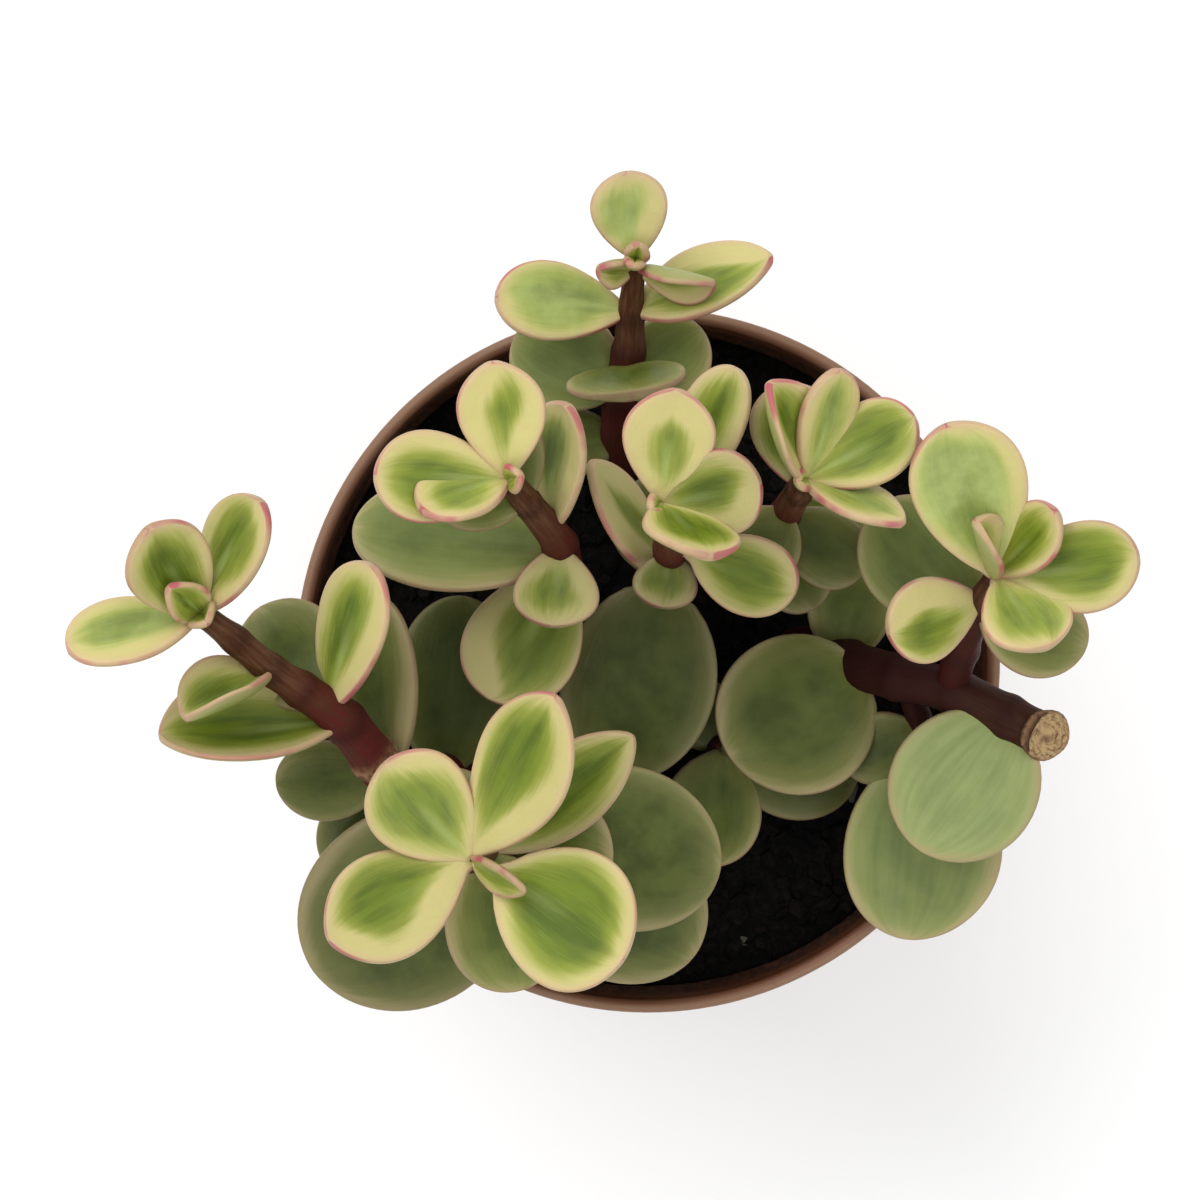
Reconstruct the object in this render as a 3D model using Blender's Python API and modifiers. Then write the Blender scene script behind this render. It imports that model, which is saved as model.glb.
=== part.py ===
"""A variegated elephant bush in a round nursery pot.

The origin is the centre of the pot's flat underside. Units are metres and +Z is up. The tables of
stems and leaves are written in millimetres and degrees: a bearing is counted anticlockwise from +X
as seen from above, and a rise is counted up from level.
"""

import math
import random
from collections import namedtuple

import bmesh
import bpy
from mathutils import Matrix, Vector

MM = 0.001
GAP = 0.3 * MM

# Pot
POT_HEIGHT = 80 * MM
RIM_RADIUS = 45 * MM
BAND_HEIGHT = 9 * MM
BAND_STEP = 1.1 * MM
BASE_RADIUS = 32 * MM
WALL = 1.3 * MM
FLOOR = 1.8 * MM
LIP = 0.4 * MM
RIM_FALL = 1.9 * MM
EDGE_ROUND = 1.2 * MM
POT_STEPS = 48
POT_CREASE = 35
DRAIN_HOLES = 6
DRAIN_RADIUS = 3 * MM
DRAIN_CIRCLE = 21 * MM
DRAIN_SIDES = 16

# Soil
SOIL_TOP = 70.5 * MM
SOIL_ROUGHNESS = 0.5 * MM
SOIL_SHOULDER = 2 * MM
SOIL_SEED = 7
SOIL_RINGS = 4
SOIL_STEPS = 30
HOLE_DEPTH = 9 * MM
HOLE_SIDES = 12

# Stems
STEM_SINK = 8 * MM
STEM_COLLAR = 1 * MM
STEM_SUBDIVISIONS = 2
STEM_ROUNDNESS = 2
NODE_SWELL = 1.12
SAME_POINT = 0.01 * MM

# Leaf blades: places along the blade where a section stands, as shares of its length
SECTIONS = (0.0, 0.13, 0.33, 0.55, 0.76, 0.91, 0.985)
PETIOLE_HALF_WIDTH = 0.9 * MM
SMALLEST_HALF_THICKNESS = 0.36 * MM
EDGE_THICKNESS = 0.3
BASE_THICKNESS = 0.6
BASE_THICKENING = 2
TIP_THINNING = 0.35
LEAF_CREASE = 50

# A leaf grows at a place on its stem's route: 2 is the route's third point, 2.5 is halfway to the next
Leaf = namedtuple("Leaf", "place bearing rise length width kind roll", defaults=("young", 0))
# base and tip give the roundness of a blade's two ends: 0.5 is a half circle, 1 is a straight wedge.
# stalk is the share of the leaf's length that is a bare stalk
Kind = namedtuple("Kind", "thick base tip stalk cup bend")

KINDS = {
    "young": Kind(thick=1.8, base=0.85, tip=0.50, stalk=0, cup=0.14, bend=6),
    "kite": Kind(thick=1.8, base=1.00, tip=0.66, stalk=0, cup=0.14, bend=6),
    "spoon": Kind(thick=1.8, base=0.72, tip=0.50, stalk=0.15, cup=0.14, bend=6),
    "pointed": Kind(thick=1.8, base=0.80, tip=0.72, stalk=0, cup=0.14, bend=6),
    "ripe": Kind(thick=1.8, base=0.75, tip=0.50, stalk=0, cup=0.10, bend=2),
    "old": Kind(thick=2.2, base=0.62, tip=0.50, stalk=0, cup=0.05, bend=-8),
    "round": Kind(thick=2.2, base=0.52, tip=0.50, stalk=0, cup=0.04, bend=-6),
    "folded": Kind(thick=1.5, base=0.80, tip=0.60, stalk=0, cup=0.75, bend=8),
    "bud": Kind(thick=1.3, base=0.70, tip=0.70, stalk=0, cup=0.50, bend=4),
}

# Each route goes from the soil to the tip: x, y, z and the stem's radius there, all in millimetres
ROUTES = {
    "shoot_back": [
        (-4, 19.5, 70, 2.6),
        (-4, 25, 79, 2.4),
        (-3.5, 33, 86, 2.2),
        (-2.5, 39, 89.5, 2.0),
        (-2.3, 43.5, 92.5, 1.7),
        (-1.7, 49.5, 97, 1.2),
    ],
    "shoot_back_left": [
        (-11, 7.5, 70, 2.6),
        (-10.5, 10.5, 86, 2.4),
        (-11, 14.5, 101, 2.1),
        (-15, 19.5, 111, 1.8),
        (-16.8, 21.8, 117, 1.3),
    ],
    "shoot_centre": [
        (1, 8, 70, 2.6),
        (2, 10, 88, 2.4),
        (2.5, 14, 103, 2.1),
        (1.5, 17.5, 113, 1.8),
        (1, 19, 118, 1.3),
    ],
    "shoot_back_right": [
        (14.5, 13, 70, 2.4),
        (15.5, 14.5, 86, 2.2),
        (16.5, 18, 99, 1.9),
        (18, 21, 109, 1.7),
        (18.3, 22, 113, 1.3),
    ],
    "shoot_right": [
        (20, 1.5, 70, 3.1),
        (25.5, -0.5, 83, 2.9),
        (31.5, -2, 89, 2.8),
        (38, -3.7, 92.5, 2.8),
        (44.5, -6.8, 94.5, 2.6),
        (51, -10, 96, 2.7),
    ],
    "shoot_left": [
        (-22, -12, 70, 3.2),
        (-27, -15, 86, 3.1),
        (-32, -13.5, 99, 3.0),
        (-37, -7, 107, 2.5),
        (-42, -3, 111, 2.1),
        (-45.5, -0.5, 113.5, 1.9),
        (-49.5, 3, 116, 1.7),
        (-53, 6, 119, 1.3),
    ],
    "shoot_front": [
        (-12, -19, 70, 3.0),
        (-14.5, -20, 89, 2.8),
        (-17.5, -21.5, 102, 2.4),
        (-19.5, -22, 114, 2.0),
        (-21, -22.5, 126, 1.5),
    ],
    "shoot_inner": [
        (9.5, -11, 70, 2.2),
        (9.5, -11, 74, 2.0),
        (9.3, -11.5, 79, 1.6),
    ],
}

LEAVES = {
    "shoot_back": [
        Leaf(5, 96, 20, 11.5, 9.5),
        Leaf(5, 75, 62, 4.5, 3.0, "bud"),
        Leaf(5, 255, 72, 4.0, 2.6, "bud"),
        Leaf(4, 175, 14, 17.5, 10, "young", 8),
        Leaf(4, 19, 14, 19.5, 10, "pointed", -30),
        Leaf(4.8, 351, 22, 11, 6, "folded", 70),
        Leaf(4.8, 182, 28, 5.5, 4, "folded", -40),
        Leaf(2.6, 278, 72, 11, 15, "old"),
        Leaf(2.2, 155, 5, 15, 13, "old"),
        Leaf(2.1, 38, 6, 13, 11, "old"),
        Leaf(1.4, 185, 8, 11, 9, "old"),
    ],
    "shoot_back_left": [
        Leaf(4, 98, 18, 15, 10.5, "kite"),
        Leaf(4, 178, 14, 16.5, 11),
        Leaf(4, 201, 27, 12.5, 9, "young", 40),
        Leaf(4, 20, 70, 5, 3.5, "bud"),
        Leaf(2.3, 80, 28, 17.5, 10.5, "young", -46),
        Leaf(2.0, 264, 12, 10.5, 10.5),
        Leaf(1.8, 172, 4, 26, 16, "old", 30),
        Leaf(1.3, 239, 6, 19, 14.5, "ripe"),
        Leaf(1.1, 140, 6, 14, 11, "old"),
        Leaf(3.0, 100, 12, 12, 6.5, "old"),
        Leaf(3.0, 180, 8, 11, 7, "old"),
    ],
    "shoot_centre": [
        Leaf(4, 82, 18, 14.5, 11, "kite"),
        Leaf(4, 12, 12, 12.5, 10.5, "young", 10),
        Leaf(4, 309, 47, 13, 12, "young", -48),
        Leaf(4, 215, 70, 4.5, 3, "bud"),
        Leaf(3, 64, 4, 20, 8.5, "young", -10),
        Leaf(2.1, 341, 8, 16.5, 10, "spoon", 12),
        Leaf(1.9, 262, 12, 7.2, 8, "ripe"),
        Leaf(1.3, 128, 32, 20, 9, "pointed", 45),
        Leaf(0.9, 255, 1, 25.5, 19.5, "round"),
        Leaf(1.1, 100, 8, 13, 11, "old"),
        Leaf(1.6, 25, 4, 9, 8, "old"),
    ],
    "shoot_back_right": [
        Leaf(4, 115, 30, 14.5, 8.5, "folded", 40),
        Leaf(4, 75, 24, 15, 7.5, "young", 30),
        Leaf(4, 29, 14, 15.5, 10, "young", -12),
        Leaf(4, 333, 22, 14, 7.5, "pointed", -50),
        Leaf(4, 200, 72, 4, 2.6, "bud"),
        Leaf(3, 98, 6, 13, 10),
        Leaf(2.2, 235, 8, 10, 10, "old"),
        Leaf(2.0, 322, 4, 12, 9.5, "old"),
        Leaf(1.2, 300, 12, 10, 9, "old"),
        Leaf(1.0, 30, 6, 14, 11, "old"),
        Leaf(1.0, 175, 4, 11, 9, "old"),
        Leaf(3.0, 22, 6, 11, 8, "old"),
    ],
    "shoot_right": [
        Leaf(1.3, 212, 8, 20.5, 20.5, "round", 6),
        Leaf(4.1, 234, -6, 20.2, 18.6, "round"),
        Leaf(0.8, 75, 10, 13, 11, "old"),
    ],
    "shoot_left": [
        Leaf(7, 196, 12, 16.5, 10, "young", 38),
        Leaf(7, 59, 20, 16.5, 10, "young", -32),
        Leaf(7, 118, 38, 15, 10.5, "young", 10),
        Leaf(7, 135, 55, 8.5, 5, "bud"),
        Leaf(7, 315, 70, 4.5, 4, "bud"),
        Leaf(4.9, 212, 26, 13, 9, "folded", 50),
        Leaf(3.3, 71, 18, 19.5, 11.5, "young", -38),
        Leaf(3.0, 186, 8, 22.5, 12, "folded", 30),
        Leaf(3.4, 126, -12, 15, 13, "old"),
        Leaf(2, 98, 2, 22, 12.5, "old", -30),
        Leaf(2, 185, 2, 14, 10, "old"),
        Leaf(1.6, 232, -2, 15, 12, "old"),
        Leaf(0.8, 84, 2, 23, 15, "old"),
    ],
    "shoot_front": [
        Leaf(4, 130, 16, 16, 12.5),
        Leaf(4, 62, 22, 24, 12.5, "kite", -20),
        Leaf(4, 209, 14, 19.5, 12.8, "kite", 8),
        Leaf(4, 328, 10, 21.5, 16.5, "spoon"),
        Leaf(4, 334, 35, 9, 4, "bud", 40),
        Leaf(3.2, 38, 8, 23, 10, "pointed"),
        Leaf(3.0, 355, 2, 15, 15, "old"),
        Leaf(3.2, 285, 6, 17, 14.5, "old"),
        Leaf(1.9, 214, -4, 29.5, 24.5, "round"),
        Leaf(1.7, 350, -4, 26, 20.5, "round"),
        Leaf(1.3, 322, -6, 27, 20.5, "round"),
        Leaf(2.5, 50, 10, 14, 9, "old"),
        Leaf(2.5, 142, 8, 12, 10, "old"),
        Leaf(2.4, 272, 4, 12, 10, "old"),
        Leaf(1.8, 40, 4, 12, 9, "old"),
        Leaf(1.2, 182, 2, 12, 10, "old"),
    ],
    "shoot_inner": [
        Leaf(2, 348, 0, 18, 13, "old"),
        Leaf(2, 262, 6, 15, 13, "old"),
        Leaf(1.6, 120, 6, 10, 9, "old"),
    ],
}

# Side shoots start inside the stem that bears them: each is a route and its leaves
SIDE_SHOOTS = {
    "shoot_right": [
        (
            [
                (37.5, -3.5, 92, 2.0),
                (38.3, 1.5, 99, 2.0),
                (39.8, 7, 106, 1.8),
                (41.3, 10.5, 112, 1.3),
            ],
            [
                Leaf(3, 111, 22, 21, 14),
                Leaf(3, 121, 45, 10.5, 6, "folded", 60),
                Leaf(3, 48, 30, 12, 8, "young", -30),
                Leaf(3, 8, 16, 17.5, 11),
                Leaf(3, 302, 30, 12, 11, "young", -20),
                Leaf(2.2, 198, 14, 13, 10.5, "young", -15),
                Leaf(2.0, 338, 2, 14, 11, "old"),
                Leaf(1.7, 131, 0, 18, 14, "old"),
                Leaf(2.3, 18, 6, 12, 9, "old"),
            ],
        ),
        (
            [(32, -2, 89, 1.6), (34, -7, 87, 1.5), (35.5, -12, 86, 1.3)],
            [
                Leaf(2, 263, -3, 23.5, 20, "round"),
                Leaf(1.3, 205, -4, 11, 9, "old"),
            ],
        ),
    ],
}

# Colours and finishes: red, green, blue and roughness
FINISHES = {
    "pot": (0.19, 0.055, 0.022, 0.55),
    "soil": (0.012, 0.009, 0.007, 0.95),
    "leaf": (0.21, 0.31, 0.07, 0.42),
}


def clear_scene():
    for obj in list(bpy.data.objects):
        bpy.data.objects.remove(obj)


def new_collection(name):
    collection = bpy.data.collections.new(name)
    bpy.context.scene.collection.children.link(collection)
    return collection


def make_material(name):
    red, green, blue, roughness = FINISHES[name]
    material = bpy.data.materials.new(name)
    material.use_nodes = True
    shader = material.node_tree.nodes["Principled BSDF"]
    shader.inputs["Base Color"].default_value = (red, green, blue, 1)
    shader.inputs["Roughness"].default_value = roughness
    return material


def add_object(name, mesh, collection, material=None):
    obj = bpy.data.objects.new(name, mesh)
    collection.objects.link(obj)
    if material:
        mesh.materials.append(material)
    return obj


def mesh_from(bm, name):
    bmesh.ops.triangulate(bm, faces=bm.faces)
    mesh = bpy.data.meshes.new(name)
    bm.to_mesh(mesh)
    bm.free()
    return mesh


def apply_modifiers(obj):
    """Gives the object the mesh that its modifiers make, and takes them off."""
    bpy.context.view_layer.update()
    graph = bpy.context.evaluated_depsgraph_get()
    old_mesh = obj.data
    obj.data = bpy.data.meshes.new_from_object(obj.evaluated_get(graph))
    obj.modifiers.clear()
    bpy.data.meshes.remove(old_mesh)


def boolean(obj, operation, other):
    """Adds a Boolean with one object, or with a whole collection."""
    modifier = obj.modifiers.new(operation.lower(), "BOOLEAN")
    modifier.operation = operation
    modifier.solver = "MANIFOLD"
    if isinstance(other, bpy.types.Collection):
        modifier.operand_type = "COLLECTION"
        modifier.collection = other
    else:
        modifier.object = other


def cylinder(name, radius, bottom, top, x, y, collection, sides):
    bm = bmesh.new()
    bmesh.ops.create_cone(
        bm, cap_ends=True, segments=sides, radius1=radius, radius2=radius, depth=top - bottom
    )
    bmesh.ops.translate(bm, verts=bm.verts, vec=(x, y, (top + bottom) / 2))
    obj = add_object(name, mesh_from(bm, name), collection)
    obj.hide_render = True
    obj.display_type = "WIRE"
    return obj


# Pot and soil


def outer_radius(z):
    """The radius of the pot's tapered body, under its rim band, at a height."""
    top_radius = RIM_RADIUS - BAND_STEP
    share = z / (POT_HEIGHT - BAND_HEIGHT)
    return BASE_RADIUS + (top_radius - BASE_RADIUS) * share


def corner_arc(centre_r, centre_z, radius, start, end, steps=2):
    """Points of an arc in the profile's plane, between two angles in degrees."""
    points = []
    for step in range(steps + 1):
        angle = math.radians(start + (end - start) * step / steps)
        points.append((centre_r + radius * math.cos(angle), centre_z + radius * math.sin(angle)))
    return points


def pot_profile():
    """The section of the pot's wall and floor, down its outer side and back up inside."""
    band_bottom = POT_HEIGHT - BAND_HEIGHT
    half_lip = (WALL + LIP) / 2
    lip_centre = RIM_RADIUS - half_lip
    under_band = outer_radius(band_bottom)
    rim = corner_arc(lip_centre, POT_HEIGHT - half_lip, half_lip, 90, 0)
    band = [
        (RIM_RADIUS - LIP, POT_HEIGHT - RIM_FALL),
        (RIM_RADIUS - LIP, band_bottom + BAND_STEP),
        (under_band, band_bottom),
    ]
    foot = corner_arc(BASE_RADIUS - EDGE_ROUND, EDGE_ROUND, EDGE_ROUND, 0, -90)
    inside = [
        (BASE_RADIUS - WALL - EDGE_ROUND, FLOOR),
        (outer_radius(FLOOR + EDGE_ROUND) - WALL, FLOOR + EDGE_ROUND),
        (under_band - WALL, band_bottom),
        (RIM_RADIUS - LIP - WALL, band_bottom + BAND_STEP),
        (RIM_RADIUS - LIP - WALL, POT_HEIGHT - half_lip),
    ]
    return rim + band + foot + [(0, 0), (0, FLOOR)] + inside


def make_pot(collection, cutters, material):
    profile = pot_profile()
    mesh = bpy.data.meshes.new("pot")
    points = [(radius, 0, z) for radius, z in profile]
    last = len(points) - 1
    skipped = profile.index((0, 0))
    edges = [(i, i + 1) for i in range(last) if i != skipped] + [(last, 0)]
    mesh.from_pydata(points, edges, [])
    pot = add_object("pot", mesh, collection, material)
    turn = pot.modifiers.new("turn", "SCREW")
    turn.steps = POT_STEPS
    turn.render_steps = POT_STEPS
    turn.use_merge_vertices = True
    turn.merge_threshold = SAME_POINT
    for number in range(DRAIN_HOLES):
        angle = math.tau * (number + 0.5) / DRAIN_HOLES
        x = DRAIN_CIRCLE * math.cos(angle)
        y = DRAIN_CIRCLE * math.sin(angle)
        name = f"drain_cutter_{number + 1}"
        cutter = cylinder(name, DRAIN_RADIUS, -FLOOR, 2 * FLOOR, x, y, cutters, DRAIN_SIDES)
        boolean(pot, "DIFFERENCE", cutter)
    apply_modifiers(pot)
    return pot


def soil_radius(z):
    return min(outer_radius(z) - WALL, RIM_RADIUS - LIP - WALL) - GAP


def make_soil(collection, cutters, material):
    """A plug of potting mix that fills the pot, with a slightly uneven top and a hole for each stem."""
    rng = random.Random(SOIL_SEED)
    bm = bmesh.new()
    bottom = FLOOR + GAP
    floor_radius = BASE_RADIUS - WALL - EDGE_ROUND - GAP
    heights = [(floor_radius, bottom), (soil_radius(bottom + EDGE_ROUND), bottom + EDGE_ROUND)]
    shoulder = SOIL_TOP - SOIL_SHOULDER
    heights.append((soil_radius(shoulder), shoulder))
    rings = []
    for radius, z in heights:
        rings.append(soil_ring(bm, radius, lambda: z))
    for ring in range(SOIL_RINGS):
        radius = soil_radius(SOIL_TOP) * (1 - ring / SOIL_RINGS)
        rings.append(soil_ring(bm, radius, lambda: SOIL_TOP + rng.uniform(-1, 1) * SOIL_ROUGHNESS))
    for lower, upper in zip(rings, rings[1:]):
        for i in range(SOIL_STEPS):
            j = (i + 1) % SOIL_STEPS
            bm.faces.new((lower[i], lower[j], upper[j], upper[i]))
    bm.faces.new(rings[0][::-1])
    bm.faces.new(rings[-1])
    soil = add_object("soil", mesh_from(bm, "soil"), collection, material)
    for name, route in ROUTES.items():
        x, y, _, radius = route[0]
        cutter = cylinder(
            name + "_hole_cutter",
            radius * MM + 2 * GAP,
            SOIL_TOP - HOLE_DEPTH,
            SOIL_TOP + HOLE_DEPTH,
            x * MM,
            y * MM,
            cutters,
            HOLE_SIDES,
        )
        boolean(soil, "DIFFERENCE", cutter)
    apply_modifiers(soil)
    return soil


def soil_ring(bm, radius, height):
    ring = []
    for step in range(SOIL_STEPS):
        angle = math.tau * step / SOIL_STEPS
        ring.append(bm.verts.new((radius * math.cos(angle), radius * math.sin(angle), height())))
    return ring


# Stems


def route_at(route, place):
    """The point, in metres, at a place on the smooth curve through a route, and the radius there."""
    first = min(int(place), len(route) - 2)
    share = place - first
    before = Vector(route[max(first - 1, 0)])
    start = Vector(route[first])
    end = Vector(route[first + 1])
    after = Vector(route[min(first + 2, len(route) - 1)])
    blend = (
        start * 2
        + (end - before) * share
        + (before * 2 - start * 5 + end * 4 - after) * share**2
        + (start * 3 - before - end * 3 + after) * share**3
    ) / 2
    return Vector(blend[:3]) * MM, blend[3] * MM


def stem_points(route, rooted):
    """The points and radii of a stem, thicker at its route's points, with a straight root end."""
    points = []
    if rooted:
        x, y, z, radius = route[0]
        foot = Vector((x * MM, y * MM, SOIL_TOP - STEM_SINK))
        collar = Vector((x * MM, y * MM, SOIL_TOP + STEM_COLLAR))
        points = [(foot, radius * MM), (collar, radius * MM)]
    steps = (len(route) - 1) * STEM_SUBDIVISIONS
    for step in range(2 if rooted else 0, steps + 1):
        point, radius = route_at(route, step / STEM_SUBDIVISIONS)
        at_node = step % STEM_SUBDIVISIONS == 0 and step < steps
        points.append((point, radius * NODE_SWELL if at_node else radius))
    return points


def make_stem(name, points, collection):
    """A round tube through the points, as a closed mesh."""
    curve = bpy.data.curves.new(name, "CURVE")
    curve.dimensions = "3D"
    curve.bevel_depth = MM
    curve.bevel_resolution = STEM_ROUNDNESS
    curve.use_fill_caps = True
    spline = curve.splines.new("POLY")
    spline.points.add(len(points) - 1)
    for target, (point, radius) in zip(spline.points, points):
        target.co = (*point, 1)
        target.radius = radius / MM
    tube = bpy.data.objects.new(name, curve)
    collection.objects.link(tube)
    bpy.context.view_layer.update()
    graph = bpy.context.evaluated_depsgraph_get()
    bm = bmesh.new()
    bm.from_mesh(bpy.data.meshes.new_from_object(tube.evaluated_get(graph)))
    bmesh.ops.remove_doubles(bm, verts=bm.verts, dist=SAME_POINT)
    bmesh.ops.recalc_face_normals(bm, faces=bm.faces)
    matrix = tube.matrix_world.copy()
    bpy.data.objects.remove(tube)
    stem = add_object(name, mesh_from(bm, name), collection)
    stem.matrix_world = matrix
    return stem


# Leaves


def half_width(share, leaf, kind):
    """Half the blade's width at a share of its length, with a round tip and a narrow base."""
    widest = kind.base / (kind.base + kind.tip)
    most = widest**kind.base * (1 - widest) ** kind.tip
    blade = max(0, (share - kind.stalk) / (1 - kind.stalk))
    width = leaf.width * MM / 2 * blade**kind.base * (1 - blade) ** kind.tip / most
    petiole = PETIOLE_HALF_WIDTH * (1 - share)
    return max(width, petiole)


def blade_axes(leaf):
    """The blade's own directions: along it, to its left and up from it."""
    bearing = math.radians(leaf.bearing)
    rise = math.radians(leaf.rise)
    along = Vector(
        (math.cos(bearing) * math.cos(rise), math.sin(bearing) * math.cos(rise), math.sin(rise))
    )
    level_left = Vector((-math.sin(bearing), math.cos(bearing), 0))
    turn = Matrix.Rotation(math.radians(leaf.roll), 3, along)
    left = turn @ level_left
    return along, left, along.cross(left)


def blade_section(share, leaf, kind):
    """The eight points round the blade at one place: across it, and up from its chord."""
    wide = half_width(share, leaf, kind)
    thick = kind.thick * MM / 2 * min(1, BASE_THICKNESS + BASE_THICKENING * share)
    thick = thick * (1 - TIP_THINNING * share**3)
    edge = max(SMALLEST_HALF_THICKNESS, EDGE_THICKNESS * thick)
    points = []
    for across, up in ((-1, -edge), (-0.5, -thick), (0.5, -thick), (1, -edge)):
        points.append((across, up))
    for across, up in ((1, edge), (0.5, thick), (-0.5, thick), (-1, edge)):
        points.append((across, up))
    return [(across * wide, up + kind.cup * wide * across**2) for across, up in points]


def make_leaf(name, start, leaf, collection):
    """A fleshy blade, lofted along its midrib from the middle of the stem."""
    kind = KINDS[leaf.kind]
    along, left, up = blade_axes(leaf)
    length = leaf.length * MM
    bend = math.radians(kind.bend)
    bm = bmesh.new()
    rings = []
    for share in SECTIONS:
        angle = bend * share
        middle = start + length * share * (along * math.cos(angle / 2) + up * math.sin(angle / 2))
        upward = up * math.cos(angle) - along * math.sin(angle)
        section = blade_section(share, leaf, kind)
        rings.append([bm.verts.new(middle + left * x + upward * y) for x, y in section])
    for ring, following in zip(rings, rings[1:]):
        for i in range(len(ring)):
            j = (i + 1) % len(ring)
            bm.faces.new((ring[i], ring[j], following[j], following[i]))
    bm.faces.new(rings[0])
    bm.faces.new(rings[-1][::-1])
    bmesh.ops.recalc_face_normals(bm, faces=bm.faces)
    return add_object(name, mesh_from(bm, name), collection)


def make_leaves(name, route, leaves, collection):
    for number, leaf in enumerate(leaves):
        make_leaf(f"{name}_leaf_{number + 1}", route_at(route, leaf.place)[0], leaf, collection)


def make_shoot(name, collection, material):
    """One rooted stem with everything that grows on it, fused into one body."""
    pieces = new_collection(name + "_pieces")
    make_leaves(name, ROUTES[name], LEAVES[name], pieces)
    for number, (route, leaves) in enumerate(SIDE_SHOOTS.get(name, [])):
        side_name = f"{name}_side_{number + 1}"
        make_stem(side_name, stem_points(route, rooted=False), pieces)
        make_leaves(side_name, route, leaves, pieces)
    shoot = make_stem(name, stem_points(ROUTES[name], rooted=True), collection)
    shoot.data.materials.append(material)
    boolean(shoot, "UNION", pieces)
    apply_modifiers(shoot)
    for piece in list(pieces.objects):
        bpy.data.objects.remove(piece)
    bpy.data.collections.remove(pieces)
    shoot.data.shade_smooth()
    shoot.data.set_sharp_from_angle(angle=math.radians(LEAF_CREASE))
    return shoot


def main():
    clear_scene()
    collection = new_collection("elephant_bush")
    cutters = new_collection("cutters")
    pot = make_pot(collection, cutters, make_material("pot"))
    pot.data.shade_smooth()
    pot.data.set_sharp_from_angle(angle=math.radians(POT_CREASE))
    make_soil(collection, cutters, make_material("soil"))
    leaf_material = make_material("leaf")
    for name in ROUTES:
        make_shoot(name, collection, leaf_material)


main()
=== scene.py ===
"""The looks of the potted elephant bush: fine leaves, stems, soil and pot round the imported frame.

Tables of stems and leaves are in millimetres and degrees, as in the part's source: a bearing is
counted anticlockwise from +X as seen from above, and a rise is counted up from level.
"""

import math
import random
from collections import namedtuple

import bmesh
import bpy
import numpy as np
from mathutils import Matrix, Vector, noise


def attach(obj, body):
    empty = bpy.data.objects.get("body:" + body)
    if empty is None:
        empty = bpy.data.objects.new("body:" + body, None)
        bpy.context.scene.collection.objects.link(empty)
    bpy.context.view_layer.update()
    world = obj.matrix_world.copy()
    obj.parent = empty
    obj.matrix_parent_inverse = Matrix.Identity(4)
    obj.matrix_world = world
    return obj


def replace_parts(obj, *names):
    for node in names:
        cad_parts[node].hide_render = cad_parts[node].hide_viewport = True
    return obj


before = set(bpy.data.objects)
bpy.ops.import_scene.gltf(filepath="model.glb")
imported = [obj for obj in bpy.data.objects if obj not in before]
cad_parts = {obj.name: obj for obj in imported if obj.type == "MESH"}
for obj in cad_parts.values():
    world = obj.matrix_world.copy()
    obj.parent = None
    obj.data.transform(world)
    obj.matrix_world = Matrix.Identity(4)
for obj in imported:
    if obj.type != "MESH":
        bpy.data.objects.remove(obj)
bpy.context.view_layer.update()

MM = 0.001

# The photograph's view: straight down, with the scale of its 1200 pixels at the rim's height
PHOTO_PIXELS = 1200
RIM_MM_PER_PIXEL = 0.1275
CAMERA_ABOVE_RIM = 520 * MM
CAMERA_X = -6.1 * MM
CAMERA_Y = 7.7 * MM
SENSOR = 36.0

# Pot, as in the part's source
POT_HEIGHT = 80 * MM
RIM_RADIUS = 45 * MM
BAND_HEIGHT = 9 * MM
BAND_STEP = 1.1 * MM
BASE_RADIUS = 32 * MM
WALL = 1.3 * MM
FLOOR = 1.8 * MM
LIP = 0.4 * MM
EDGE_ROUND = 1.2 * MM
BAND_ROUND = 0.5 * MM
CENTRE_RING = 4 * MM
POT_STEPS = 168
POT_CREASE = 40
DRAIN_HOLES = 6
DRAIN_RADIUS = 3 * MM
DRAIN_CIRCLE = 21 * MM

# Soil. The plug stays clear of the pot by the gap at its side and the lift over its floor
SOIL_TOP = 70.5 * MM
SOIL_GAP = 0.15 * MM
SOIL_LIFT = 0.3 * MM
SOIL_LEVELS = (20 * MM, 45 * MM)
SOIL_RINGS = 64
SOIL_STEPS = 160
SOIL_RELIEF = 0.9 * MM
CRUMBS = 2600
CRUMB_SIZES = (0.35, 1.25)
CRUMB_SIZE_POWER = 1.6
CRUMB_STRETCH = ((0.6, 1.5), (0.5, 1.1), (0.4, 0.8))
CRUMB_JITTER = (0.78, 1.2)
CRUMB_TILT = 0.5
CRUMB_SEED = 23
PALE_CRUMB_SHARE = 0.012
PALE_TONE = 2.0

# Stems
STEM_SINK = 8 * MM
STEM_STEP = 0.55 * MM
STEM_SIDES = 26
NODE_SWELL = 0.12
NODE_LENGTH = 1.3 * MM
TIP_SHRINK = 0.75
COARSE_BUMPS = 0.035
FINE_BUMPS = 0.02
FOOT_RINGS = 12
SHOOT_SEED = 100

# Leaves
BLADE_STEPS = 30
BLADE_ROUND = 36
EDGE_POWER = 0.62
PETIOLE_HALF_WIDTH = 0.9 * MM
OUTLINE_POINTS = 90
WAVE_HEIGHTS = (0.10, 0.28)
FULL_WAVE_WIDTH = 9
SWAY = 0.03
THICKNESS_SPREAD = 0.08
CHANNEL_DEPTH = 0.22 * MM
CHANNEL_WIDTH = 0.16
MARGIN_SPREAD = (0.55, 1.5)
MARGIN_WAVE = 0.35
AGE_SPREAD = (-0.08, 0.12)
TONE_SPREAD = 0.08

Leaf = namedtuple(
    "Leaf",
    "place bearing rise length width kind roll left right tone",
    defaults=("young", 0, None, None, 0),
)
Kind = namedtuple("Kind", "thick base tip stalk cup bend age cream")

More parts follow.
